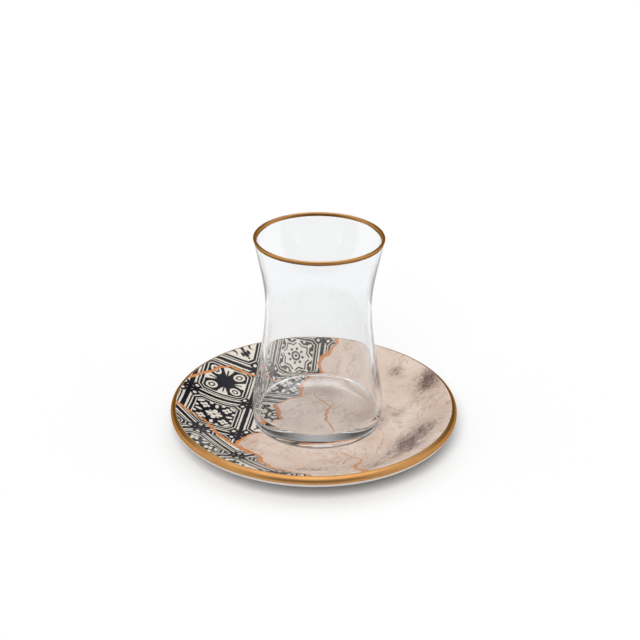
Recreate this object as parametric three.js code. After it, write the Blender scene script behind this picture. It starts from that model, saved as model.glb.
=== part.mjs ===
// A clear waisted tea glass with a gilded rim, standing in its round porcelain saucer.
// Millimetres, +Z up. The origin is the middle of the saucer's foot ring, at table level.
import * as THREE from "three";

// Saucer sizes
const SAUCER_RADIUS = 62.5;
const SAUCER_HEIGHT = 13.7; // the crest of the rounded edge
const EDGE_ROUND = 2.4; // radius of the rounded edge
const SEAT_HEIGHT = 5.5; // the flat well that the glass stands on
const FLOOR_THICKNESS = 3.9;
const FLARE_ROUND = 40; // radius of the curve from the well up to the sloping border
const BORDER_SLOPE = THREE.MathUtils.degToRad(24);
const UNDER_SLOPE = THREE.MathUtils.degToRad(20);
const FOOT_RADIUS = 34.7; // middle of the foot ring
const FOOT_WIDTH = 1.8; // of the flat that touches the table
const FOOT_BEVEL = 0.6;
const FOOT_DRAFT = 0.5; // how far the ring widens from its bevel up to the floor

// Glass sizes, heights measured from its own foot
const GLASS_HEIGHT = 86;
const GLASS_X = 1.6; // the glass stands a little to one side of the saucer's middle
const BELLY_RADIUS = 28.4;
const BELLY_HEIGHT = 9;
const WAIST_RADIUS = 22.5;
const WAIST_HEIGHT = 55;
const RIM_RADIUS = 27.25; // outside of the rim's round
const RIM_ROUND = 0.62; // radius of the fire-polished rim
const RIM_LIP = 0.28; // how far the rim's round stands out from the wall
const RIM_FLARE = THREE.MathUtils.degToRad(9.5);
const HEEL_ROUND = 1.6;
const HEEL_RADIUS = 28.1; // where the heel's round meets the belly
const PUNT_RADIUS = 24.5; // the shallow dome under the base, inside the ring that touches
const PUNT_DEPTH = 0.8;
const BASE_THICKNESS = 6.6;
const INNER_CORNER_WIDTH = 1.2;
const INNER_CORNER_HEIGHT = 1.4;
const BELLY_WALL = 2.3;
const WAIST_WALL = 1.5;

// How far each curve keeps its direction before it bends towards the next
const BELLY_PULL = 6.3;
const WAIST_PULL_DOWN = 15.9;
const WAIST_PULL_UP = 10.2;
const RIM_PULL = 11.9;

// Facets
const SAUCER_SIDES = 80;
const GLASS_SIDES = 64;

// Directions in a profile, as angles from straight outwards
const UP = Math.PI / 2;
const DOWN = -Math.PI / 2;

// A circle or ellipse in a profile, as a function that gives the points of one of its arcs.
function round(middleRadius, middleHeight, width, rise = width) {
  return (from, to, steps) =>
    Array.from({ length: steps + 1 }, (_, i) => {
      const angle = from + ((to - from) * i) / steps;
      return new THREE.Vector2(
        middleRadius + width * Math.cos(angle),
        middleHeight + rise * Math.sin(angle),
      );
    });
}

// Points of a cubic curve in a profile.
function bend(start, startPull, endPull, end, steps) {
  const [a, b, c, d] = [start, startPull, endPull, end].map(
    ([radius, height]) => new THREE.Vector2(radius, height),
  );
  return new THREE.CubicBezierCurve(a, b, c, d).getPoints(steps);
}

// A closed solid of revolution about +Z from a profile that starts and ends on the axis.
function turned(name, profile, sides, material) {
  const points = profile.filter(
    (p, i) => i === 0 || p.distanceTo(profile[i - 1]) > 1e-4,
  );
  const geometry = new THREE.LatheGeometry(points, sides);
  geometry.rotateX(Math.PI / 2);
  const mesh = new THREE.Mesh(geometry, material);
  mesh.name = name;
  return mesh;
}

// The saucer: a flat well, a curved rise to a sloping border, a rounded edge and a low foot ring.
function makeSaucer() {
  const edgeRadius = SAUCER_RADIUS - EDGE_ROUND;
  const edgeHeight = SAUCER_HEIGHT - EDGE_ROUND;
  const underHeight = SEAT_HEIGHT - FLOOR_THICKNESS;
  const flareHeight = SEAT_HEIGHT + FLARE_ROUND;

  // The border runs straight from the edge's round down to the curve that lies tangent to the well.
  const borderTopRadius = edgeRadius - EDGE_ROUND * Math.sin(BORDER_SLOPE);
  const borderTopHeight = edgeHeight + EDGE_ROUND * Math.cos(BORDER_SLOPE);
  const flareRise = FLARE_ROUND * (1 - Math.cos(BORDER_SLOPE));
  const wellRadius =
    borderTopRadius -
    FLARE_ROUND * Math.sin(BORDER_SLOPE) -
    (borderTopHeight - SEAT_HEIGHT - flareRise) / Math.tan(BORDER_SLOPE);

  const footInner = FOOT_RADIUS - FOOT_WIDTH / 2;
  const footOuter = FOOT_RADIUS + FOOT_WIDTH / 2;
  const underRound = FLARE_ROUND + FLOOR_THICKNESS;
  const footEnd = footOuter + FOOT_BEVEL + FOOT_DRAFT;
  const footAngle = Math.asin((footEnd - wellRadius) / underRound);

  const underside = round(wellRadius, flareHeight, underRound);
  const edge = round(edgeRadius, edgeHeight, EDGE_ROUND);
  const flare = round(wellRadius, flareHeight, FLARE_ROUND);
  const profile = [
    new THREE.Vector2(0, underHeight),
    new THREE.Vector2(footInner - FOOT_BEVEL - FOOT_DRAFT, underHeight),
    new THREE.Vector2(footInner - FOOT_BEVEL, FOOT_BEVEL),
    new THREE.Vector2(footInner, 0),
    new THREE.Vector2(footOuter, 0),
    new THREE.Vector2(footOuter + FOOT_BEVEL, FOOT_BEVEL),
    ...underside(DOWN + footAngle, DOWN + UNDER_SLOPE, 4),
    ...edge(DOWN + UNDER_SLOPE, 0, 5),
    ...edge(0, UP, 6),
    ...edge(UP, UP + BORDER_SLOPE, 2),
    ...flare(DOWN + BORDER_SLOPE, DOWN, 6),
    new THREE.Vector2(0, SEAT_HEIGHT),
  ];
  const glaze = new THREE.MeshStandardMaterial({ color: 0xcdb9ad, roughness: 0.15, metalness: 0 });
  return turned("saucer", profile, SAUCER_SIDES, glaze);
}

// The outer side of the glass, from the heel up to where the wall meets the rim's round.
function glassOutside(wallRadius, wallTop) {
  const bellyPull = BELLY_HEIGHT / 3;
  const heel = round(HEEL_RADIUS - HEEL_ROUND, HEEL_ROUND, HEEL_ROUND);
  return [
    ...heel(DOWN, 0, 4),
    ...bend(
      [HEEL_RADIUS, HEEL_ROUND],
      [HEEL_RADIUS, HEEL_ROUND + bellyPull],
      [BELLY_RADIUS, BELLY_HEIGHT - bellyPull],
      [BELLY_RADIUS, BELLY_HEIGHT],
      3,
    ),
    ...bend(
      [BELLY_RADIUS, BELLY_HEIGHT],
      [BELLY_RADIUS, BELLY_HEIGHT + BELLY_PULL],
      [WAIST_RADIUS, WAIST_HEIGHT - WAIST_PULL_DOWN],
      [WAIST_RADIUS, WAIST_HEIGHT],
      10,
    ),
    ...bend(
      [WAIST_RADIUS, WAIST_HEIGHT],
      [WAIST_RADIUS, WAIST_HEIGHT + WAIST_PULL_UP],
      belowRim(wallRadius, wallTop),
      [wallRadius, wallTop],
      8,
    ),
  ];
}

// The inner side of the glass, from the rim's round down to the middle of its floor.
function glassInside(wallRadius, wallTop) {
  const cornerTop = BASE_THICKNESS + INNER_CORNER_HEIGHT;
  const bellyRadius = BELLY_RADIUS - BELLY_WALL;
  const waistRadius = WAIST_RADIUS - WAIST_WALL;
  const cornerMiddle = bellyRadius - INNER_CORNER_WIDTH;
  const corner = round(cornerMiddle, cornerTop, INNER_CORNER_WIDTH, INNER_CORNER_HEIGHT);
  return [
    ...bend(
      [wallRadius, wallTop],
      belowRim(wallRadius, wallTop),
      [waistRadius, WAIST_HEIGHT + WAIST_PULL_UP],
      [waistRadius, WAIST_HEIGHT],
      8,
    ),
    ...bend(
      [waistRadius, WAIST_HEIGHT],
      [waistRadius, WAIST_HEIGHT - WAIST_PULL_DOWN],
      [bellyRadius, cornerTop + BELLY_PULL],
      [bellyRadius, cornerTop],
      8,
    ),
    ...corner(0, DOWN, 6),
    new THREE.Vector2(0, BASE_THICKNESS),
  ];
}

// The point that makes a wall's curve arrive at the rim with the rim's flare.
function belowRim(wallRadius, wallTop) {
  return [
    wallRadius - RIM_PULL * Math.sin(RIM_FLARE),
    wallTop - RIM_PULL * Math.cos(RIM_FLARE),
  ];
}

// The glass: a thick base with a shallow punt, a round belly, a slim waist and a flared rim.
function makeGlass() {
  const rimHeight = GLASS_HEIGHT - RIM_ROUND;
  const rimMiddle = RIM_RADIUS - RIM_ROUND;
  const lipAngle = Math.acos((RIM_ROUND - RIM_LIP) / RIM_ROUND);
  const wallTop = rimHeight - RIM_ROUND * Math.sin(lipAngle);
  const puntRound = (PUNT_RADIUS ** 2 + PUNT_DEPTH ** 2) / (2 * PUNT_DEPTH);
  const puntAngle = Math.asin(PUNT_RADIUS / puntRound);
  const punt = round(0, PUNT_DEPTH - puntRound, puntRound);
  const rim = round(rimMiddle, rimHeight, RIM_ROUND);
  const profile = [
    new THREE.Vector2(0, PUNT_DEPTH),
    ...punt(UP, UP - puntAngle, 4),
    ...glassOutside(RIM_RADIUS - RIM_LIP, wallTop),
    ...rim(-lipAngle, 0, 2),
    ...rim(0, Math.PI, 6),
    ...glassInside(rimMiddle - RIM_ROUND, rimHeight),
  ];
  const clear = new THREE.MeshStandardMaterial({
    color: 0xeef1f1,
    roughness: 0.02,
    metalness: 0,
    transparent: true,
    opacity: 0.35,
  });
  const glass = turned("tea_glass", profile, GLASS_SIDES, clear);
  glass.position.set(GLASS_X, 0, SEAT_HEIGHT);
  return glass;
}

const teaGlassOnSaucer = new THREE.Group();
teaGlassOnSaucer.add(makeSaucer(), makeGlass());

export default teaGlassOnSaucer;
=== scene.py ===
"""A clear waisted tea glass with a gilded rim, standing in its printed porcelain saucer."""

import math
from functools import partial, reduce

import bpy
from bpy.props import FloatProperty, FloatVectorProperty, IntProperty, PointerProperty
from mathutils import Matrix, Vector


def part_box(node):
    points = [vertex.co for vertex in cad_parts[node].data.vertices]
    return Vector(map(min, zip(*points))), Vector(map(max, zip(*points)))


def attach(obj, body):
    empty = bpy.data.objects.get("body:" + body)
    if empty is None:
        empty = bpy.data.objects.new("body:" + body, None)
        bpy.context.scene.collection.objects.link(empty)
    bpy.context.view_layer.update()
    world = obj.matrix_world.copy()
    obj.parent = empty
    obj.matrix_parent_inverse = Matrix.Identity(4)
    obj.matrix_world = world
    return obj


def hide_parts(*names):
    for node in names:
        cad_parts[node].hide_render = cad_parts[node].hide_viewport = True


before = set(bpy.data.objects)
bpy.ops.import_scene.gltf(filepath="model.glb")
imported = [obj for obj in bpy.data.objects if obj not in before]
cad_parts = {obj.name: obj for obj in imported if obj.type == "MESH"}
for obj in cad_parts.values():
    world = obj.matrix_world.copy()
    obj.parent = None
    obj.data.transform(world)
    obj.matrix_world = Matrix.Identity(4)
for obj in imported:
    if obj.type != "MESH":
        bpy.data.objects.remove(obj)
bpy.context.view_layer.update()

bl_info = {
    "name": "Waisted Tea Glass",
    "version": (1, 0, 0),
    "blender": (4, 5, 0),
    "location": "View3D > Sidebar > Tea Glass",
    "description": "Builds a waisted tea glass and its printed saucer on their CAD frame",
    "category": "Add Mesh",
}

MM = 0.001
UP, DOWN = math.pi / 2, -math.pi / 2
HALF_ROOT = math.sqrt(0.5)
SAME_POINT = 1e-7  # points nearer than this are one
WELD_DISTANCE = 1e-6
FOOT_BLEND = 0.4 * MM  # how far out the underside bends down to the foot ring
GLAZE_INDEX, GLASS_INDEX = 1.52, 1.5
BRUSHED_LINES = 9000  # how fine the gold's brushed lines are, to the metre
GOLD_SHEEN = (0.62, 0.42, 0.26, 1)  # what the gold mirrors where it is seen edge-on
GLASS_CLEAR, GLASS_DEEPER = (0.955, 0.962, 0.968, 1), (0.94, 0.948, 0.956, 1)
GLASS_EDGE_SHADE = (0.28, 0.29, 0.3, 1)  # painted shade for the glass where its wall is seen edge-on
PASSING_LIGHT = (0.97, 0.97, 0.97, 1)
SENSOR_WIDTH = 36
LIGHT_BOUNCES = 32

# Heights and places that come from the CAD frame
SAUCER_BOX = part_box("saucer")
GLASS_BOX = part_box("tea_glass")


# Properties


def number(name, description, default, **options):
    return FloatProperty(name=name, description=description, default=default, **options)


def distance(name, description, millimetres):
    return number(name, description, millimetres * MM, min=0, unit="LENGTH")


def angle(name, description, degrees):
    return number(name, description, math.radians(degrees), subtype="ANGLE")


def light(name, description, strength):
    return number(name, description, strength, min=0)


def colour(name, description, red, green, blue):
    """A colour property whose default is given as it looks on a screen, 0 to 255."""

    def linear(level):
        level /= 255
        return level / 12.92 if level <= 0.04045 else ((level + 0.055) / 1.055) ** 2.4

    return FloatVectorProperty(
        name=name,
        description=description,
        subtype="COLOR",
        size=4,
        min=0,
        max=1,
        default=(linear(red), linear(green), linear(blue), 1),
    )


class SaucerSettings(bpy.types.PropertyGroup):
    """Sizes of the saucer."""

    edge_round: distance("Edge round", "Radius of the rounded edge", 2.4)
    seat_height: distance("Seat height", "Height of the flat well above the table", 5.5)
    floor_thickness: distance("Floor thickness", "Thickness of the well's floor", 3.9)
    flare_round: distance("Flare", "Radius of the curve from the well to the border", 40)
    border_slope: angle("Border slope", "Slope of the border's top", 24)
    under_slope: angle("Underside slope", "Slope of the border's underside", 20)
    foot_radius: distance("Foot radius", "Radius of the foot ring's middle", 34.7)
    foot_width: distance("Foot width", "Width of the flat that touches the table", 1.8)
    foot_bevel: distance("Foot bevel", "Bevel at the foot ring's edges", 0.6)
    foot_draft: distance("Foot draft", "How far the foot ring widens upwards", 0.5)
    sides: IntProperty(name="Sides", description="Steps round the saucer", default=256, min=12)


class GlassSettings(bpy.types.PropertyGroup):
    """Sizes of the glass, heights from its own foot."""

    belly_radius: distance("Belly radius", "Widest radius", 28.4)
    belly_height: distance("Belly height", "Height of the widest place", 9)
    waist_radius: distance("Waist radius", "Slimmest radius", 22.5)
    waist_height: distance("Waist height", "Height of the slimmest place", 55)
    rim_radius: distance("Rim radius", "Outside radius of the rim's round", 27.25)
    rim_round: distance("Rim round", "Radius of the fire-polished rim", 0.62)
    rim_lip: distance("Rim lip", "How far the rim's round stands out from the wall", 0.28)
    rim_flare: angle("Rim flare", "How far the wall leans out at the rim", 9.5)
    heel_round: distance("Heel round", "Radius of the round at the foot", 1.6)
    heel_radius: distance("Heel radius", "Radius where the heel meets the belly", 28.1)
    punt_radius: distance("Punt radius", "Radius of the hollow under the base", 24.5)
    punt_depth: distance("Punt depth", "Depth of the hollow under the base", 0.8)
    base_thickness: distance("Base thickness", "Height of the inner floor", 6.6)
    corner_width: distance("Corner width", "Width of the inner corner's curve", 1.2)
    corner_height: distance("Corner height", "Height of the inner corner's curve", 1.4)
    belly_wall: distance("Belly wall", "Thickness of the wall at the belly", 2.3)
    waist_wall: distance("Waist wall", "Thickness of the wall at the waist", 1.5)
    belly_pull: distance("Belly pull", "How far the belly keeps its direction", 6.3)
    waist_pull_down: distance("Pull below the waist", "How far the waist runs straight down", 15.9)
    waist_pull_up: distance("Pull above the waist", "How far the waist runs straight up", 10.2)
    rim_pull: distance("Rim pull", "How far the rim's flare runs straight down", 11.9)
    foot_gap: distance("Foot gap", "Gap that keeps the foot clear of the glaze", 0.05)
    sides: IntProperty(name="Sides", description="Steps round the glass", default=192, min=12)


class GildingSettings(bpy.types.PropertyGroup):
    """Sizes and colours of the gold films."""

    film: distance("Film", "Thickness of the gold film", 0.02)
    recess: distance("Recess", "How far the body lies under the film's outside", 0.04)
    rim_outside: distance("Rim outside", "Height of the film on the rim's outside", 1.6)
    rim_inside: distance("Rim inside", "Height of the film on the rim's inside", 1.5)
    edge_from: angle("Edge from", "Where the film starts below the saucer's edge", -8)
    edge_to: angle("Edge to", "Where the film ends on top of the saucer's edge", 85)
    bright: colour("Bright gold", "Gold where it is burnished", 203, 157, 97)
    deep: colour("Deep gold", "Gold where it lies thicker", 174, 118, 68)


class PrintSettings(bpy.types.PropertyGroup):
    """Sizes and colours of the saucer's print."""

    tile: distance("Tile", "Width of one printed tile", 27)
    ink: colour("Ink", "Blue-black of the tiles", 11, 8, 22)
    cream: colour("Cream", "Pale ground of the tiles", 224, 216, 203)
    marble_light: colour("Light marble", "Palest marble", 224, 208, 196)
    marble_deep: colour("Deep marble", "Rosier marble", 213, 189, 172)
    smudge: colour("Smudge", "Grey-brown clouds of the marble", 98, 74, 70)
    vein: colour("Vein", "Fine veins of the marble", 150, 116, 96)
    crack: colour("Crack", "Copper of the cracks", 216, 142, 84)
    glaze: colour("Plain glaze", "Pale glaze of the underside", 216, 206, 198)


class StageSettings(bpy.types.PropertyGroup):
    """The camera's place and the light."""

    camera_place: FloatVectorProperty(
        name="Camera place",
        description="Where the camera stands",
        subtype="XYZ",
        unit="LENGTH",
        default=(0.002292, -0.49067, 0.29488),
    )
    tilt: angle("Tilt", "How far the camera looks down", 26.2472)
    roll: angle("Roll", "Turn about the line of sight", 0.59588)
    lens: number("Lens", "Focal length in millimetres", 72.464, min=1)
    floor_size: distance("Floor size", "Side of the square floor", 40000)
    floor_drop: distance("Floor drop", "Gap that keeps the floor clear of the foot ring", 0.1)
    key_light: light("Key light", "Strength of the wide soft light overhead", 1.77)
    side_light: light("Side light", "Strength of the soft lights on both sides", 0.9)
    floor_light: light("Floor light", "Light that the low lamp in front adds to the floor alone", 1.4)
    lamp_height: angle("Lamp height", "How high the floor's lamp stands", 45)
    lamp_side: angle("Lamp side", "How far the floor's lamp stands to the left", 8)
    lamp_width: angle("Lamp width", "How wide the floor's lamp looks from the floor", 34)
    backdrop_light: light("Backdrop light", "Strength of the pale backdrop at the horizon", 0.6)
    card_light: light("Card light", "Strength of the pale card that the glass's base mirrors", 0.36)
    back_light: light("Back light", "Strength of the room behind the object", 0.05)
    front_light: light("Front light", "Strength of the room behind the camera", 0.3)
    floor: colour("Floor", "Colour of the floor", 170, 170, 170)
    dim: colour("Dim", "Colour of what lies in front of the table", 60, 60, 60)
    table_front: distance("Table front", "How far the table reaches towards the camera", 170)


# Profiles, as lists of (radius, height) that run with the solid on their left.
# The last number given to an arc, a line or a bend is its count of steps.


def arc(middle, width, rise, start, end, steps):
    """Points of a circle's or an ellipse's arc."""
    angles = [start + (end - start) * i / steps for i in range(steps + 1)]
    return [(middle[0] + width * math.cos(a), middle[1] + rise * math.sin(a)) for a in angles]


def circle_arc(middle, radius, *run):
    return arc(middle, radius, radius, *run)


def line(start, end, steps):
    return [
        tuple(a + (b - a) * i / steps for a, b in zip(start, end)) for i in range(steps + 1)
    ]


def bend(start, start_pull, end_pull, end, steps):
    """Points of a cubic curve."""
    corners = (start, start_pull, end_pull, end)
    points = []
    for i in range(steps + 1):
        t = i / steps
        weights = ((1 - t) ** 3, 3 * t * (1 - t) ** 2, 3 * t**2 * (1 - t), t**3)
        points.append(tuple(sum(w * c[k] for w, c in zip(weights, corners)) for k in range(2)))
    return points


def upright_bend(start, start_pull, end_pull, end, steps):
    """A bend that leaves its start and reaches its end straight up."""
    pulls = (start[0], start[1] + start_pull), (end[0], end[1] - end_pull)
    return bend(start, *pulls, end, steps)


def joined(*runs):
    """One profile from several runs, without the points that they share."""
    profile = []
    for run in runs:
        for point in run:
            if not profile or math.dist(point, profile[-1]) > SAME_POINT:
                profile.append(point)
    return profile


def inset(run, depth):
    """A run moved into its solid."""
    moved = []
    for i, (radius, height) in enumerate(run):
        before, after = run[max(i - 1, 0)], run[min(i + 1, len(run) - 1)]
        along = Vector((after[0] - before[0], after[1] - before[1])).normalized()
        moved.append((radius - along.y * depth, height + along.x * depth))
    return moved


def parted(run, height):
    """A run that passes a height once, as the two runs on either side of it."""
    for i, (lower, upper) in enumerate(zip(run, run[1:])):
        if (lower[1] - height) * (upper[1] - height) <= 0:
            share = (height - lower[1]) / (upper[1] - lower[1])
            cut = (lower[0] + (upper[0] - lower[0]) * share, height)
            return [*run[: i + 1], cut], [cut, *run[i + 1 :]]
    raise ValueError("the run never passes that height")


def saucer_profile(saucer, gilding):
    """The saucer's profile in three runs: up to the gilding, under it, and from it to the well."""
    edge = (SAUCER_BOX[1].x - saucer.edge_round, SAUCER_BOX[1].z - saucer.edge_round)
    slope, under = saucer.border_slope, saucer.under_slope
    sine, cosine = math.sin(slope), math.cos(slope)
    flare = saucer.flare_round
    border_top = (edge[0] - saucer.edge_round * sine, edge[1] + saucer.edge_round * cosine)
    border_rise = border_top[1] - saucer.seat_height - flare * (1 - cosine)
    well = border_top[0] - flare * sine - border_rise / math.tan(slope)
    flare_middle = (well, saucer.seat_height + flare)
    under_height = saucer.seat_height - saucer.floor_thickness
    under_round = flare + saucer.floor_thickness
    half = saucer.foot_width / 2
    bevel, draft = saucer.foot_bevel, saucer.foot_draft
    inner, outer = saucer.foot_radius - half, saucer.foot_radius + half
    foot_start = (inner - bevel - draft, under_height)
    blend_start = (foot_start[0] - FOOT_BLEND, under_height)
    foot_angle = math.asin((outer + bevel + draft - well) / under_round)
    foot = joined(
        line((0, under_height), blend_start, 12),
        bend(blend_start, foot_start, foot_start, (inner - bevel, bevel), 6),
        circle_arc((inner, bevel), bevel, -math.pi, DOWN, 6),
        line((inner, 0), (outer, 0), 3),
        circle_arc((outer, bevel), bevel, DOWN, 0, 6),
    )
    underside = circle_arc(flare_middle, under_round, DOWN + foot_angle, DOWN + under, 30)

    def edge_run(start, end, steps):
        """A run of the rounded edge."""
        return circle_arc(edge, saucer.edge_round, start, end, steps)

    before = joined(foot, underside, edge_run(DOWN + under, gilding.edge_from, 16))
    gilded = joined(edge_run(gilding.edge_from, 0, 3), edge_run(0, gilding.edge_to, 21))
    after = joined(
        edge_run(gilding.edge_to, UP, 2),
        edge_run(UP, UP + slope, 6),
        circle_arc(flare_middle, flare, DOWN + slope, DOWN, 30),
        line((well, saucer.seat_height), (0, saucer.seat_height), 12),
    )
    return before, gilded, after


def glass_profile(glass, gilding):
    """The glass's profile in three runs: up to the gilding, under it, and from it to the floor."""
    full = GLASS_BOX[1].z - GLASS_BOX[0].z
    rim_height = full - glass.rim_round
    rim_middle = glass.rim_radius - glass.rim_round
    lip_angle = math.acos((glass.rim_round - glass.rim_lip) / glass.rim_round)
    wall_radius = glass.rim_radius - glass.rim_lip
    wall_top = rim_height - glass.rim_round * math.sin(lip_angle)
    inner_radius = rim_middle - glass.rim_round
    corner_top = glass.base_thickness + glass.corner_height
    inner_belly = glass.belly_radius - glass.belly_wall
    corner_middle = (inner_belly - glass.corner_width, corner_top)
    inner_waist = glass.waist_radius - glass.waist_wall
    heel_middle = (glass.heel_radius - glass.heel_round, glass.heel_round)
    belly, pull = (glass.belly_radius, glass.belly_height), glass.belly_height / 3
    waist = glass.waist_height

    def below_rim(radius, height):
        """The point that makes a wall arrive at the rim with its flare."""
        lean = glass.rim_flare
        return (radius - glass.rim_pull * math.sin(lean), height - glass.rim_pull * math.cos(lean))

    def rim(start, end, steps):
        return circle_arc((rim_middle, rim_height), glass.rim_round, start, end, steps)

    def lower_wall(widest, height, slimmest, steps):
        """A wall's run from the belly up to the waist."""
        pulls = glass.belly_pull, glass.waist_pull_down
        return upright_bend((widest, height), *pulls, (slimmest, waist), steps)

    def upper_wall(slimmest, top, height):
        """A wall's run from the waist up to the rim."""
        pulls = (slimmest, waist + glass.waist_pull_up), below_rim(top, height)
        return bend((slimmest, waist), *pulls, (top, height), 44)

    outside = upper_wall(glass.waist_radius, wall_radius, wall_top)
    inside = upper_wall(inner_waist, inner_radius, rim_height)[::-1]
    outer_wall, outer_band = parted(outside, full - gilding.rim_outside)
    inner_band, inner_wall = parted(inside, full - gilding.rim_inside)
    punt_round = (glass.punt_radius**2 + glass.punt_depth**2) / (2 * glass.punt_depth)
    punt_angle = math.asin(glass.punt_radius / punt_round)
    before = joined(
        circle_arc((0, glass.punt_depth - punt_round), punt_round, UP, UP - punt_angle, 20),
        line((glass.punt_radius, 0), (heel_middle[0], 0), 4),
        circle_arc(heel_middle, glass.heel_round, DOWN, 0, 12),
        upright_bend((glass.heel_radius, glass.heel_round), pull, pull, belly, 12),
        lower_wall(*belly, glass.waist_radius, 56),
        outer_wall,
    )
    gilded = joined(outer_band, rim(-lip_angle, 0, 6), rim(0, math.pi, 20), inner_band)
    after = joined(
        inner_wall,
        lower_wall(inner_belly, corner_top, inner_waist, 50)[::-1],
        arc(corner_middle, glass.corner_width, glass.corner_height, 0, DOWN, 24),
        line((corner_middle[0], glass.base_thickness), (0, glass.base_thickness), 10),
    )
    squeeze = (full - glass.foot_gap) / full

    def stood(run):
        """A run lifted from the saucer's glaze at its foot, with the rim left at its height."""
        foot = GLASS_BOX[0].z + glass.foot_gap
        return [(radius, foot + height * squeeze) for radius, height in run]

    return stood(before), stood(gilded), stood(after)


def under_film(runs, depth):
    """A body's whole profile, sunk a little where the gold film covers it."""
    before, gilded, after = runs
    return joined(before, inset(gilded, depth), after)


def film_profile(gilded, thickness):
    """The closed profile of a gold film."""
    return [*gilded, *reversed(inset(gilded, thickness)), gilded[0]]


# Nodes, and sums in node trees


def feed(value, socket):
    """Links a wire or a socket to a socket, or sets the socket to a value."""
    if isinstance(value, Wire):
        value = value.socket
    if isinstance(value, bpy.types.NodeSocket):
        socket.id_data.links.new(value, socket)
    else:
        socket.default_value = value


def fill(node, inputs):
    """Links or sets a node's inputs, by name or number."""
    for label, value in inputs.items():
        feed(value, node.inputs[label])


def new_node(tree, kind, inputs=None, **settings):
    """A node with its settings made and its inputs filled."""
    node = tree.nodes.new(kind)
    for label, value in settings.items():
        setattr(node, label, value)
    fill(node, inputs or {})
    return node


class Wire:
    """A number in a node tree. Sums on it add Math nodes to the tree."""

    def __init__(self, socket):
        self.tree = socket.id_data
        self.socket = socket

    def math(self, operation, *values, clamp=False):
        inputs = dict(enumerate(values))
        node = new_node(self.tree, "ShaderNodeMath", inputs, operation=operation, use_clamp=clamp)
        return Wire(node.outputs[0])

    def __add__(self, other):
        return self.math("ADD", self, other)

    def __sub__(self, other):
        return self.math("SUBTRACT", self, other)

    def __rsub__(self, other):
        return self.math("SUBTRACT", other, self)

    def __mul__(self, other):
        return self.math("MULTIPLY", self, other)

    def __truediv__(self, other):
        return self.math("DIVIDE", self, other)

    def __mod__(self, other):
        return self.math("FLOORED_MODULO", self, other)

    def __abs__(self):
        return self.math("ABSOLUTE", self)

    def __neg__(self):
        return self.math("MULTIPLY", self, -1)

    def floor(self):
        return self.math("FLOOR", self)

    def root(self):
        return self.math("POWER", self, 0.5)

    def least(self, *others):
        return reduce(partial(self.math, "MINIMUM"), others, self)

    def most(self, *others):
        return reduce(partial(self.math, "MAXIMUM"), others, self)

    def is_near(self, value):
        return self.math("COMPARE", self, value, 0.5)

    def clamped(self):
        """The number, kept between 0 and 1."""
        return self.math("ADD", self, 0, clamp=True)

    def below(self, limit, blur):
        """1 where the number is below the limit, 0 above it, with a soft step."""
        return self.math("MULTIPLY_ADD", self, -1 / blur, limit / blur + 0.5, clamp=True)

    def above(self, limit, blur):
        """1 where the number is above the limit, 0 below it, with a soft step."""
        return self.math("MULTIPLY_ADD", self, 1 / blur, 0.5 - limit / blur, clamp=True)


def axes(place):
    """The three coordinates of a place, as wires."""
    apart = new_node(place.id_data, "ShaderNodeSeparateXYZ", {0: place})
    return [Wire(socket) for socket in apart.outputs]


def vector(x, y, z=0.0):
    return new_node(x.tree, "ShaderNodeCombineXYZ", {"X": x, "Y": y, "Z": z}).outputs[0]


class Plane:
    """A point of a flat pattern, as two wires."""

    def __init__(self, x, y):
        self.x, self.y = x, y

    def moved(self, x, y):
        return Plane(self.x - x, self.y - y)

    def turned(self, degrees):
        """The point seen from turned axes."""
        cosine, sine = math.cos(math.radians(degrees)), math.sin(math.radians(degrees))
        return Plane(self.x * cosine + self.y * sine, self.y * cosine - self.x * sine)

    def radius(self):
        return (self.x * self.x + self.y * self.y).root()


def new_group(name, kind, inputs, outputs):
    """An empty node group with its sockets, and its input and output nodes."""
    tree = bpy.data.node_groups.new(name, kind)
    for in_out, sockets in (("INPUT", inputs), ("OUTPUT", outputs)):
        for label, (socket_type, default) in sockets.items():
            socket = tree.interface.new_socket(
                name=label, in_out=in_out, socket_type="NodeSocket" + socket_type
            )
            if default is not None:
                socket.default_value = default
    return tree, tree.nodes.new("NodeGroupInput"), tree.nodes.new("NodeGroupOutput")


# The turned shape, as geometry nodes


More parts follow.
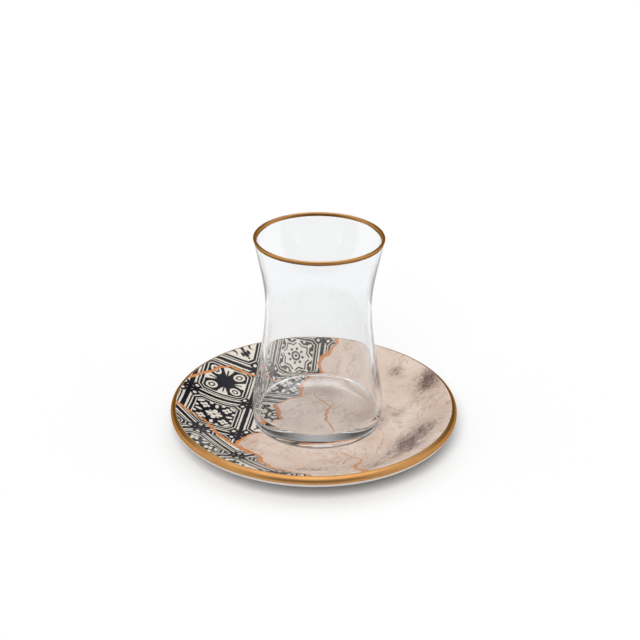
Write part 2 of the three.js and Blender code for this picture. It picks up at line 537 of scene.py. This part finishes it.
def turned_shape_tree():
    """A geometry node tree that turns a profile about an upright axis into a closed shape."""
    tree, start, end = new_group(
        "Turned shape",
        "GeometryNodeTree",
        {
            "Profile": ("Geometry", None),
            "Sides": ("Int", 128),
            "Middle": ("Vector", (0, 0, 0)),
            "Weld distance": ("Float", WELD_DISTANCE),
            "First finish": ("Material", None),
            "Second finish": ("Material", None),
        },
        {"Geometry": ("Geometry", None)},
    )
    profile, sides = start.outputs["Profile"], Wire(start.outputs["Sides"])
    count = new_node(tree, "GeometryNodeAttributeDomainSize", {"Geometry": profile})
    size = {"Vertices X": count.outputs["Point Count"], "Vertices Y": sides + 1}
    grid = new_node(tree, "GeometryNodeMeshGrid", size)

    index = Wire(new_node(tree, "GeometryNodeInputIndex").outputs[0])
    step = ((index + 0.5) / (sides + 1)).floor()
    turn = (index - step * (sides + 1)) * (-2 * math.pi) / sides
    face_step = ((index + 0.5) / sides).floor()

    def sampled(value, data_type, at):
        """What a value is at one of the profile's points."""
        inputs = {"Geometry": profile, "Value": value, "Index": at}
        kind = "GeometryNodeSampleIndex"
        return new_node(tree, kind, inputs, data_type=data_type, domain="POINT").outputs["Value"]

    point = new_node(tree, "GeometryNodeInputPosition").outputs[0]
    radius, _, height = axes(sampled(point, "FLOAT_VECTOR", step))
    cosine, sine = (turn.math(operation, turn) for operation in ("COSINE", "SINE"))
    place = vector(radius * cosine, radius * sine, height)
    moved = new_node(
        tree,
        "GeometryNodeSetPosition",
        {"Geometry": grid.outputs["Mesh"], "Position": place, "Offset": start.outputs["Middle"]},
    )
    finish = new_node(
        tree, "GeometryNodeInputNamedAttribute", {"Name": "finish"}, data_type="INT"
    ).outputs["Attribute"]
    stored = new_node(
        tree,
        "GeometryNodeStoreNamedAttribute",
        {"Name": "finish", "Geometry": moved.outputs[0], "Value": sampled(finish, "INT", face_step)},
        data_type="INT",
        domain="FACE",
    )
    seam = {"Geometry": stored.outputs[0], "Distance": start.outputs["Weld distance"]}
    welded = new_node(tree, "GeometryNodeMergeByDistance", seam)
    smooth = new_node(tree, "GeometryNodeSetShadeSmooth", {0: welded.outputs[0]})
    shape = new_node(tree, "GeometryNodeRealizeInstances", {0: smooth.outputs[0]}).outputs[0]
    for label, faces in (("First finish", True), ("Second finish", finish)):
        inputs = {"Geometry": shape, "Material": start.outputs[label], "Selection": faces}
        shape = new_node(tree, "GeometryNodeSetMaterial", inputs).outputs[0]
    feed(shape, end.inputs[0])
    return tree


def new_object(name, data):
    """An object in the scene."""
    made = bpy.data.objects.new(name, data)
    bpy.context.scene.collection.objects.link(made)
    return made


def drop_empty_slots(mesh):
    """Takes out the empty material slot that a geometry node's grid starts with."""
    finishes = list(mesh.materials)
    kept = [finish for finish in finishes if finish]
    numbers = [kept.index(finishes[face.material_index]) for face in mesh.polygons]
    mesh.materials.clear()
    for finish in kept:
        mesh.materials.append(finish)
    mesh.polygons.foreach_set("material_index", numbers)


def turned_piece(name, profile, sides, middle, first, second=None, second_from=None):
    """A closed piece turned from a profile. Its second finish starts at a point of the profile."""
    tree = bpy.data.node_groups.get("Turned shape") or turned_shape_tree()
    outline = bpy.data.meshes.new(name + "_profile")
    outline.from_pydata(
        [(radius, 0, height) for radius, height in profile],
        [(i, i + 1) for i in range(len(profile) - 1)],
        [],
    )
    finish = outline.attributes.new("finish", "INT", "POINT")
    start = len(profile) if second_from is None else profile.index(second_from)
    finish.data.foreach_set("value", [int(i >= start) for i in range(len(profile))])
    piece = new_object(name, outline)
    turn = piece.modifiers.new("Turned shape", "NODES")
    turn.node_group = tree
    values = {"Sides": sides, "Middle": middle}
    values.update({"First finish": first, "Second finish": second or first})
    for socket in tree.interface.items_tree:
        if socket.in_out == "INPUT" and socket.name in values:
            turn[socket.identifier] = values[socket.name]
    shown = piece.evaluated_get(bpy.context.evaluated_depsgraph_get())
    mesh = bpy.data.meshes.new_from_object(shown)
    mesh.name = name
    drop_empty_slots(mesh)
    piece.modifiers.remove(turn)
    piece.data = mesh
    bpy.data.meshes.remove(outline)
    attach(piece, "root")
    return piece


# Shader helpers


def mixed(share, first, second):
    """A colour between two colours. Each is a colour or a socket."""
    inputs = {0: share, 6: first, 7: second}
    return new_node(share.tree, "ShaderNodeMix", inputs, data_type="RGBA").outputs[2]


def darker(colour_in, share):
    return tuple(channel * share for channel in colour_in[:3]) + (1,)


def noise(place, scale, detail=2.0, roughness=0.5, distortion=0.0):
    """Noise between about 0 and 1, at a vector socket."""
    values = (place, scale, detail, roughness, distortion)
    inputs = dict(zip(("Vector", "Scale", "Detail", "Roughness", "Distortion"), values))
    return Wire(new_node(place.id_data, "ShaderNodeTexNoise", inputs).outputs[0])


def place_group(tree, group, **inputs):
    return new_node(tree, "ShaderNodeGroup", inputs, node_tree=group)


def new_material(name):
    material = bpy.data.materials.new(name)
    material.use_nodes = True
    tree = material.node_tree
    place = new_node(tree, "ShaderNodeTexCoord").outputs["Object"]
    return material, tree, tree.nodes["Principled BSDF"], place


def ripple_group():
    """The slow waviness of glaze, glass and gold film, with fine grain on it."""
    group = bpy.data.node_groups.get("Ripple")
    if group:
        return group
    tree, start, end = new_group(
        "Ripple",
        "ShaderNodeTree",
        {"Position": ("Vector", None), "Wave": ("Float", 120.0), "Grain": ("Float", 1500.0)},
        {"Height": ("Float", None)},
    )
    place = start.outputs["Position"]
    wave = noise(place, start.outputs["Wave"], 1)
    grain = noise(place, start.outputs["Grain"], 1)
    feed(wave + grain * 0.08, end.inputs[0])
    return tree


def add_ripple(shader, place, wave, grain, strength, reach):
    """Gives a surface its waviness. The reach is in millimetres."""
    tree = shader.id_data
    ripple = place_group(tree, ripple_group(), Position=place, Wave=wave, Grain=grain)
    inputs = {"Height": ripple.outputs[0], "Strength": strength, "Distance": reach * MM}
    feed(new_node(tree, "ShaderNodeBump", inputs).outputs[0], shader.inputs["Normal"])


def plan_group(name, **outputs):
    """An empty group for a flat pattern, with the two coordinates that it takes."""
    tree, start, end = new_group(
        name,
        "ShaderNodeTree",
        {"X": ("Float", 0.0), "Y": ("Float", 0.0)},
        {label: (kind, None) for label, kind in outputs.items()},
    )
    return tree, Wire(start.outputs["X"]), Wire(start.outputs["Y"]), end


# The print's tiles, in half tiles from each tile's middle. Ink is 1, the pale ground 0.

EDGE_BLUR = 0.02


def inked(field):
    """Ink where a distance is below nothing."""
    return field.below(0, EDGE_BLUR)


def oval(x, y, at_x, at_y, wide, high):
    """About the distance to an oval, below nothing inside it."""
    return (Plane((x - at_x) / wide, (y - at_y) / high).radius() - 1) * min(wide, high)


def crescent(x, y, at_x, at_y, outer, shift_x, shift_y, inner):
    """A leaf left of one circle by another."""
    return oval(x, y, at_x, at_y, outer, outer).most(
        -oval(x, y, at_x + shift_x, at_y + shift_y, inner, inner)
    )


def tile_folds(x, y):
    """The folded coordinates that the motifs share."""
    x, y = abs(x), abs(y)
    far, near = x.most(y), x.least(y)
    out, across = (x + y) * HALF_ROOT, (far - near) * HALF_ROOT
    return far, near, out, across


def framed(far, near, out, across, inside, flat, cut):
    """A motif inside an eight-sided frame with scrolls at the tile's corners."""
    frame_edge = (far - flat).most(out - cut)
    within = frame_edge.below(-0.075, EDGE_BLUR)
    lines = inked(abs(frame_edge) - 0.042)
    joint = inked(0.925 - far)
    corner = oval(far, near, 0.80, 0.80, 1, 1) + 1
    scroll = inked(abs(corner - 0.105) - 0.045)
    leaf = inked(crescent(out, across, 0.985, 0.2, 0.115, 0.04, 0.045, 0.095))
    rule = inked((abs(far - 0.835) - 0.024).most(near - 0.62))
    ink = (inside * within).most(lines, joint)
    outside = frame_edge.above(0.07, EDGE_BLUR)
    return ink.most((scroll.most(leaf, rule)) * outside)


def flowers_motif(far, near, out, across):
    """Pale flowers on an inked ground."""
    middle = oval(far, near, 0.15, 0, 0.13, 0.085).least(oval(out, across, 0.2, 0, 0.06, 0.03))
    petal_x, petal_y = abs(far - 0.36), abs(near - 0.36)
    reach, side = petal_x.most(petal_y), petal_x.least(petal_y)
    small = oval(reach, side, 0.085, 0, 0.075, 0.06)
    bud = oval(far, near, 0.5, 0, 0.11, 0.06)
    corner = oval(out, across, 0.74, 0, 0.055, 0.13).least(oval(far, near, 0.6, 0.2, 0.055, 0.06))
    pale = middle.least(small, bud, corner)
    hearts = oval(far, near, 0, 0, 0.05, 0.05).least(oval(reach, side, 0, 0, 0.035, 0.035))
    return (1 - inked(pale)).most(inked(hearts))


def sprigs_motif(far, near, out, across):
    """Four inked sprigs on the pale ground, round a small ring."""
    stem = (across - 0.03).most(0.13 - out, out - 0.5)
    leaves = crescent(out, across, 0.33, 0.15, 0.16, 0.06, 0.035, 0.135)
    tulip = oval(out, across, 0.6, 0, 0.15, 0.075).least(oval(out, across, 0.57, 0.12, 0.095, 0.055))
    berry = oval(out, across, 0.79, 0, 0.04, 0.04)
    side = crescent(far, near, 0.56, 0.02, 0.13, 0.05, 0.0, 0.11)
    axis = oval(far, near, 0.42, 0, 0.07, 0.035)
    ring = abs(oval(far, near, 0, 0, 1, 1) + 1 - 0.085) - 0.035
    return inked(stem.least(leaves, tulip, berry, axis, side, ring))


def rosette_motif(far, near, out, across):
    """A ringed rosette in an eight-pointed star."""
    radius = oval(far, near, 0, 0, 1, 1) + 1
    rings = (abs(radius - 0.15) - 0.038).least(radius - 0.06)
    beads = oval(far, near, 0.28, 0, 0.055, 0.05).least(oval(out, across, 0.28, 0, 0.055, 0.05))
    star = far.least(out)
    outer = 0.39 - star
    pale_line = abs(star - 0.47) - 0.028
    cut = oval(far, near, 0.6, 0, 0.07, 0.085).least(
        oval(out, across, 0.71, 0, 0.1, 0.065), oval(far, near, 0.62, 0.25, 0.05, 0.05)
    )
    return inked(rings.least(beads, outer.most(-cut, -pale_line)))


def circles_motif(far, near, out, across):
    """Interlaced circles that leave pale pointed leaves."""
    first = oval(far, near, 1, 1, 1, 1) + 1
    second = oval(far, near, 1, -1, 1, 1) + 1
    leaf = first.most(second) - 1.26
    vein = (near - 0.028).most(0.2 - far, far - 0.55)
    knot = oval(out, across, 0.56, 0, 0.17, 0.13)
    pale = (leaf + 0.02).least(abs(knot) - 0.032)
    heart = oval(out, across, 0.56, 0, 0.07, 0.05)
    ground = 1 - inked(pale.least(heart))
    return ground.most(inked(vein))


def motif_group(name, motif, flat, cut):
    """A motif in its frame. The frame's flats and cuts lie that far from the tile's middle."""
    tree, x, y, end = plan_group(name, Ink="Float")
    folds = tile_folds(x, y)
    feed(framed(*folds, motif(*folds), flat, cut), end.inputs[0])
    return tree


def tiles_group(tile):
    """A patchwork of four motifs, one to a tile, that never has two alike side by side."""
    tree, x, y, end = plan_group("Tile patchwork", Ink="Float")
    x, y = x / tile, y / tile
    column, row = x.floor(), y.floor()
    local_x, local_y = (x - column) * 2 - 1, (y - row) * 2 - 1
    kind = (column + row * 2 + (row / 3).floor() + 1) % 4
    motifs = (
        ("Flower tile", flowers_motif, 0.73, 0.90),
        ("Sprig tile", sprigs_motif, 0.74, 0.92),
        ("Rosette tile", rosette_motif, 0.74, 0.93),
        ("Circle tile", circles_motif, 0.73, 0.94),
    )
    drawn = []
    for place, motif in enumerate(motifs):
        ink = place_group(tree, motif_group(*motif), X=local_x, Y=local_y).outputs[0]
        drawn.append(Wire(ink) * kind.is_near(place))
    feed(sum(drawn[1:], drawn[0]), end.inputs[0])
    return tree


# The cracks and the marble, in millimetres on the saucer's plan

PLAN_HALF = 64.0

# Heights at which the fields of noise are read, so that no two are alike
WOBBLE_LAYER, DUSK_LAYER, PRESENCE_LAYER, HAIR_LAYER, WARP_LAYER = 5.0, 9.0, 17.0, 31.0, 40.0


def plan_curve(along, points):
    """A broken line through points of the plan, as a height over another coordinate."""

    def on_curve(value):
        """A place on the plan, as the curve counts it."""
        return (value + PLAN_HALF) / (2 * PLAN_HALF)

    node = new_node(along.tree, "ShaderNodeFloatCurve", {"Value": on_curve(along)})
    curve = node.mapping.curves[0]
    places = [(on_curve(a), on_curve(b)) for a, b in points]
    curve.points[0].location, curve.points[1].location = places[0], places[-1]
    for place in places[1:-1]:
        curve.points.new(*place)
    for point in curve.points:
        point.handle_type = "VECTOR"
    node.mapping.update()
    return Wire(node.outputs[0]) * (2 * PLAN_HALF) - PLAN_HALF


# The cracks' courses, as lists of (along, across, width)
TILE_EDGE = [
    (-64, -58, 1.0), (-34, -46, 1.0), (-25, -33, 1.4), (-17, -29, 0.9), (-8, -14, 1.0),
    (3, -17, 1.2), (12, -7, 1.0), (24, -5, 1.3), (34, 4, 1.6), (46, 2, 1.8), (56, 11, 1.0),
    (64, 9, 1.0),
]
FRONT_CRACK = [
    (-64, -44, 1.2), (-44, -46, 2.2), (-28, -40, 1.4), (-9, -43, 1.2), (8, -41, 1.4),
    (22, -46, 1.8), (38, -43, 1.0), (64, -47, 1.0),
]
BACK_CRACK = [
    (-64, 12, 1.2), (-52, 25, 1.6), (-39, 37, 1.0), (-24, 33, 1.2), (-8, 36, 0.9), (4, 31, 0.6),
    (6, 31, 0.0), (64, 31, 0.0),
]
MARBLE_CRACK = [
    (-64, 22, 1.6), (-54, 20, 2.6), (-47, 17, 1.4), (-38, 20, 0.7), (-31, 14, 0.5),
    (-28, 12, 0.0), (64, 12, 0.0),
]
INNER_CRACK = [
    (-64, 9, 0.0), (-22, 9, 0.0), (-18, 9, 0.5), (-8, 5, 0.7), (3, 7, 0.9), (12, 1, 0.4),
    (16, 0, 0.0), (64, 0, 0.0),
]

# The marble's smudges, as (x, y, width, height, turn in degrees, strength)
SMUDGES = [
    (51, 22, 8, 12, -20, 0.95), (41, -26, 8, 23, -32, 1.0), (37, 34, 5, 6, 10, 0.6),
    (29, -3, 4, 10, -15, 0.5), (0, -47, 10, 4, 10, 0.6), (24, -47, 10, 6, 25, 0.65),
    (36, 2, 4, 7, 25, 0.5), (6, 14, 5, 9, 30, 0.35),
]


def crack(along, across, course, rough):
    """A crack's copper, and how far a point lies beyond it."""
    beyond = across - plan_curve(along, [(a, b) for a, b, _ in course])
    width = plan_curve(along, [(a, w) for a, _, w in course])
    copper = (abs(beyond) - width * rough * 0.65).below(0, 0.25)
    return copper, beyond


def shards_group():
    """The cracks, which part the tiles from the marble."""
    tree, x, y, end = plan_group("Cracks", Copper="Float", Tiles="Float", Front="Float")
    place = vector(x, y)
    slow_x = noise(place, 0.13)
    slow_y = noise(vector(x, y, WARP_LAYER), 0.13)
    x = x + (slow_x - 0.5) * 6
    y = y + (slow_y - 0.5) * 6
    rough = noise(place, 0.3) * 1.4 + 0.35
    edge, beyond_edge = crack(y, x, TILE_EDGE, rough)
    slant = (x - y) * HALF_ROOT
    depth = (x + y) * HALF_ROOT
    front, beyond_front = crack(slant, depth, FRONT_CRACK, rough)
    back, _ = crack(x, y, BACK_CRACK, rough)
    marble, _ = crack(y, x, MARBLE_CRACK, rough)
    inner, _ = crack(y, x, INNER_CRACK, rough)
    in_front = beyond_front.below(0, 0.1)
    before_edge = beyond_edge.below(0, 0.1)
    copper = (edge * (1 - in_front)).most(front, back * before_edge, marble, inner)
    fill(end, {"Copper": copper, "Tiles": before_edge.most(in_front), "Front": in_front})
    return tree


def marble_group(pale, deep, smudge, vein):
    """Beige marble with slow clouds, fine veins and grey-brown smudges."""
    tree, x, y, end = plan_group("Marble", Color="Color")
    place = vector(x, y)
    cloud = noise(place, 0.04, 4, 0.62, 0.6)
    mottle = noise(place, 0.3, 5, 0.7)
    ground = mixed((cloud * 3 - 1 + (mottle - 0.5) * 0.9).clamped(), deep, pale)
    dusk = noise(vector(x, y, DUSK_LAYER), 0.06, 5, 0.65, 0.8)
    ground = mixed(dusk.above(0.6, 0.22) * 0.25, ground, vein)

    plan = Plane(x, y)
    presence = noise(vector(x, y, PRESENCE_LAYER), 0.05)
    wide = abs(noise(place, 0.05, 5, 0.65, 1.4) - 0.5)
    slanted = plan.turned(-50)
    hair_place = vector(slanted.x * 0.5, slanted.y, HAIR_LAYER)
    hair = abs(noise(hair_place, 0.09, 5, 0.7, 1.0) - 0.5)
    veins = wide.below(0.006, 0.012) * presence.above(0.45, 0.12) * 0.75
    halo = wide.below(0.0, 0.08) * presence.above(0.45, 0.2) * 0.4
    hairs = hair.below(0.004, 0.02) * mottle.above(0.5, 0.25) * 0.45
    ground = mixed(veins.most(halo, hairs), ground, vein)

    patches = []
    for at_x, at_y, width, height, degrees, strength in SMUDGES:
        local = plan.moved(at_x, at_y).turned(degrees)
        patches.append(Plane(local.x / width, local.y / height).radius().below(0.72, 0.9) * strength)
    smudged = patches[0].most(*patches[1:])
    brushed = plan.turned(-32)
    streak = noise(vector(brushed.x, brushed.y * 0.45), 0.2, 7, 0.78, 0.5)
    speck = noise(place, 0.8, 4, 0.7)
    broken = (streak - 0.5) * 2.4 + (speck - 0.5) * 1.1
    dust = smudged.above(0.25, 0.5) * (smudged + broken).above(0.62, 0.75)
    soft = smudged.above(0.35, 0.7) * (streak - 0.1).above(0.4, 0.5) * 0.5
    feed(mixed(dust.most(soft) * 0.95, ground, smudge), end.inputs[0])
    return tree


def printed_porcelain(settings):
    """Glazed porcelain under a print of tiles, marble and copper cracks."""
    material, tree, shader, place = new_material("saucer_print")
    x, y = (axis / MM for axis in axes(place)[:2])
    cracks = place_group(tree, shards_group(), X=x, Y=y).outputs
    copper, tiles_side, front = (Wire(cracks[name]) for name in ("Copper", "Tiles", "Front"))

    # The front shard's tiles are laid at an angle of their own
    wobble = noise(vector(x, y, WOBBLE_LAYER), 0.4) - 0.5
    back_plan = Plane(x + wobble * 0.5, y + wobble * 0.5).moved(-2, 7).turned(-7)
    front_plan = Plane(x, y).moved(-31, -39).turned(41)
    tile_x = back_plan.x + (front_plan.x - back_plan.x) * front
    tile_y = back_plan.y + (front_plan.y - back_plan.y) * front
    patchwork = place_group(tree, tiles_group(settings.tile / MM), X=tile_x, Y=tile_y)
    worn = noise(place, 2500, 3, 0.7)
    ink = Wire(patchwork.outputs[0]) * (worn * 0.06 + 0.965).least(1)
    tiles = mixed(ink, settings.cream, settings.ink)

    stone = marble_group(settings.marble_light, settings.marble_deep, settings.smudge, settings.vein)
    marble = place_group(tree, stone, X=x, Y=y).outputs[0]
    drawn = mixed(tiles_side, marble, tiles)
    grainy = noise(place, 900, 3, 0.6).above(0.52, 0.3)
    metal = mixed(grainy, settings.crack, darker(settings.crack, 0.72))
    inputs = {
        "Base Color": mixed(copper, drawn, metal),
        "Roughness": noise(place, 60, 3, 0.6) * 0.06 + 0.05 + copper * 0.12,
        "IOR": GLAZE_INDEX,
        "Specular IOR Level": 0.22,
    }
    fill(shader, inputs)
    add_ripple(shader, place, 130, 1500, 0.25, 0.4)
    return material


def plain_glaze(settings):
    """White glazed porcelain, a little greyer in slow clouds."""
    material, tree, shader, place = new_material("white_glaze")
    cloud = noise(place, 60, 3, 0.6)
    inputs = {
        "Base Color": mixed(cloud, settings.glaze, darker(settings.glaze, 0.9)),
        "Roughness": noise(place, 80, 3, 0.6) * 0.08 + 0.08,
        "IOR": GLAZE_INDEX,
    }
    fill(shader, inputs)
    add_ripple(shader, place, 110, 1400, 0.3, 0.4)
    return material


def burnished_gold(settings):
    """A burnished gold film, a little deeper in slow clouds and fine brushed lines."""
    existing = bpy.data.materials.get("gold_film")
    if existing:
        return existing
    material, tree, shader, place = new_material("gold_film")
    cloud = noise(place, 90, 3, 0.6)
    x, y, height = axes(place)
    grain = vector(Plane(x, y).radius() * BRUSHED_LINES, height * BRUSHED_LINES)
    brushed = noise(grain, 1)
    share = (cloud * 0.8 + brushed * 0.4 - 0.1).clamped()
    inputs = {
        "Base Color": mixed(share, settings.bright, settings.deep),
        "Roughness": brushed * 0.12 + cloud * 0.08 + 0.22,
        "Metallic": 1,
        "Specular Tint": GOLD_SHEEN,
    }
    fill(shader, inputs)
    add_ripple(shader, place, 160, 1800, 0.3, 0.3)
    return material


def clear_glass():
    """Clear pressed glass with a faint waviness, and painted shade where its wall is seen edge-on."""
    material, tree, shader, place = new_material("drinking_glass")
    clear = mixed(noise(place, 30), GLASS_CLEAR, GLASS_DEEPER)
    # Painted shade: where the wall is seen edge-on, the glass's colour is darkened to dark grey,
    # standing in for the dark lines at its sides
    weight = new_node(tree, "ShaderNodeLayerWeight", {"Blend": 0.5})
    edge = Wire(weight.outputs["Facing"]).above(0.82, 0.28) * 0.8
    inputs = {
        "Base Color": mixed(edge, clear, GLASS_EDGE_SHADE),
        "Transmission Weight": 1,
        "Roughness": 0,
        "IOR": GLASS_INDEX,
    }
    fill(shader, inputs)
    add_ripple(shader, place, 70, 400, 0.12, 0.3)
    let_light_through(tree, shader)
    return material


def let_light_through(tree, shader):
    """Lets the light that falls on what stands behind the glass pass straight through it."""
    path = new_node(tree, "ShaderNodeLightPath").outputs
    passing = Wire(path["Is Shadow Ray"]).most(path["Is Diffuse Ray"])
    straight = new_node(tree, "ShaderNodeBsdfTransparent", {"Color": PASSING_LIGHT})
    inputs = {0: passing, 1: shader.outputs[0], 2: straight.outputs[0]}
    mix = new_node(tree, "ShaderNodeMixShader", inputs)
    feed(mix.outputs[0], tree.nodes["Material Output"].inputs["Surface"])


# Operators


def glass_middle():
    """Where the glass's axis stands in the saucer."""
    low, high = GLASS_BOX
    return ((low.x + high.x) / 2, (low.y + high.y) / 2, 0)


class TEAGLASS_OT_saucer(bpy.types.Operator):
    """Build the saucer's porcelain body"""

    bl_idname = "teaglass.saucer"
    bl_label = "Saucer"

    def execute(self, context):
        saucer, gilding = context.scene.tea_saucer, context.scene.tea_gilding
        paint = context.scene.tea_print
        runs = saucer_profile(saucer, gilding)
        piece = turned_piece(
            "saucer_body",
            under_film(runs, gilding.recess),
            saucer.sides,
            (0, 0, 0),
            plain_glaze(paint),
            printed_porcelain(paint),
            second_from=runs[2][1],
        )
        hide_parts("saucer")
        return {"FINISHED"}


class TEAGLASS_OT_glass(bpy.types.Operator):
    """Build the clear glass body"""

    bl_idname = "teaglass.glass"
    bl_label = "Glass"

    def execute(self, context):
        glass, gilding = context.scene.tea_glass, context.scene.tea_gilding
        profile = under_film(glass_profile(glass, gilding), gilding.recess)
        piece = turned_piece("glass_body", profile, glass.sides, glass_middle(), clear_glass())
        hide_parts("tea_glass")
        return {"FINISHED"}


class TEAGLASS_OT_gilding(bpy.types.Operator):
    """Lay the gold films on the glass's rim and the saucer's edge"""

    bl_idname = "teaglass.gilding"
    bl_label = "Gilding"

    def execute(self, context):
        scene = context.scene
        gilding = scene.tea_gilding
        gold = burnished_gold(gilding)
        saucer_edge = saucer_profile(scene.tea_saucer, gilding)[1]
        glass_rim = glass_profile(scene.tea_glass, gilding)[1]
        for name, run, sides, middle in (
            ("saucer_gilding", saucer_edge, scene.tea_saucer.sides, (0, 0, 0)),
            ("glass_gilding", glass_rim, scene.tea_glass.sides, glass_middle()),
        ):
            piece = turned_piece(name, film_profile(run, gilding.film), sides, middle, gold)
        return {"FINISHED"}


class TEAGLASS_OT_stage(bpy.types.Operator):
    """Set the floor, the soft light and the camera"""

    bl_idname = "teaglass.stage"
    bl_label = "Stage"

    def execute(self, context):
        stage = context.scene.tea_stage
        self.add_lamp(stage, self.add_floor(stage))
        self.add_light(context, stage)
        self.add_camera(context, stage)
        context.scene.view_settings.view_transform = "Standard"
        cycles = context.scene.cycles
        cycles.max_bounces = cycles.transmission_bounces = cycles.glossy_bounces = LIGHT_BOUNCES
        return {"FINISHED"}

    def add_floor(self, stage):
        half, low = stage.floor_size / 2, -stage.floor_drop
        mesh = bpy.data.meshes.new("floor")
        corners = [(-half, -half, low), (half, -half, low), (half, half, low), (-half, half, low)]
        mesh.from_pydata(corners, [], [(0, 1, 2, 3)])
        floor = new_object("floor", mesh)
        material, tree, shader, place = new_material("floor_paper")
        depth = axes(place)[1]
        # Reflections and looks through the glass see a table that ends in front, and all else doesn't
        glossy = Wire(new_node(tree, "ShaderNodeLightPath").outputs["Is Glossy Ray"])
        lit = depth.above(-stage.table_front, 0.05).most(1 - glossy)
        paper = mixed(lit, stage.dim, stage.floor)
        fill(shader, {"Base Color": paper, "Roughness": 1, "Specular IOR Level": 0})
        mesh.materials.append(material)
        return floor

    def add_lamp(self, stage, floor):
        """A wide low lamp that lights the floor alone, so that the shadow stays near the saucer."""
        data = bpy.data.lights.new("floor_lamp", "SUN")
        data.energy = stage.floor_light * math.pi / math.sin(stage.lamp_height)
        data.angle = stage.lamp_width
        lamp = new_object("floor_lamp", data)
        lamp.rotation_euler = (math.pi / 2 - stage.lamp_height, 0, -stage.lamp_side)
        lamp.visible_glossy = lamp.visible_transmission = False
        lit = bpy.data.collections.new("lit_by_floor_lamp")
        lit.objects.link(floor)
        lamp.light_linking.receiver_collection = lit

    def add_light(self, context, stage):
        world = bpy.data.worlds.new("studio")
        context.scene.world = world
        world.use_nodes = True
        tree = world.node_tree
        side, back, up = axes(new_node(tree, "ShaderNodeTexCoord").outputs["Generated"])
        key = up.above(0.75, 0.4) * stage.key_light
        boxes = abs(side).above(0.65, 0.4) * up.below(0.7, 0.4) * back.below(0.35, 0.4)
        backdrop = up.below(0.2, 0.26) * back.above(0.2, 0.6) * stage.backdrop_light
        card = abs(side).below(0.22, 0.3) * back.above(0.6, 0.3) * up.above(0.36, 0.12)
        room = back.below(0, 0.8) * (stage.front_light - stage.back_light) + stage.back_light
        glow = key + boxes * stage.side_light + backdrop + card * stage.card_light + room
        fill(tree.nodes["Background"], {"Color": (1, 1, 1, 1), "Strength": glow})

    def add_camera(self, context, stage):
        data = bpy.data.cameras.new("camera")
        data.lens, data.sensor_width = stage.lens, SENSOR_WIDTH
        camera = new_object("camera", data)
        camera.matrix_world = (
            Matrix.Translation(stage.camera_place)
            @ Matrix.Rotation(math.pi / 2 - stage.tilt, 4, "X")
            @ Matrix.Rotation(stage.roll, 4, "Z")
        )
        context.scene.camera = camera


class TEAGLASS_PT_build(bpy.types.Panel):
    """The tea glass's pieces"""

    bl_label = "Tea Glass"
    bl_idname = "TEAGLASS_PT_build"
    bl_space_type = "VIEW_3D"
    bl_region_type = "UI"
    bl_category = "Tea Glass"

    def draw(self, context):
        for operator in OPERATORS:
            self.layout.operator(operator.bl_idname)
        for group in SETTINGS:
            box = self.layout.box()
            settings = getattr(context.scene, group)
            for label in settings.__annotations__:
                box.prop(settings, label)


OPERATORS = (TEAGLASS_OT_saucer, TEAGLASS_OT_glass, TEAGLASS_OT_gilding, TEAGLASS_OT_stage)
SETTINGS = {
    "tea_saucer": SaucerSettings,
    "tea_glass": GlassSettings,
    "tea_gilding": GildingSettings,
    "tea_print": PrintSettings,
    "tea_stage": StageSettings,
}


def register():
    for kind in (*SETTINGS.values(), *OPERATORS, TEAGLASS_PT_build):
        bpy.utils.register_class(kind)
    for name, kind in SETTINGS.items():
        setattr(bpy.types.Scene, name, PointerProperty(type=kind))


def unregister():
    for name in SETTINGS:
        delattr(bpy.types.Scene, name)
    for kind in reversed((*SETTINGS.values(), *OPERATORS, TEAGLASS_PT_build)):
        bpy.utils.unregister_class(kind)


def main():
    register()
    bpy.ops.teaglass.saucer()
    bpy.ops.teaglass.glass()
    bpy.ops.teaglass.gilding()
    bpy.ops.teaglass.stage()


if __name__ == "__main__":
    main()
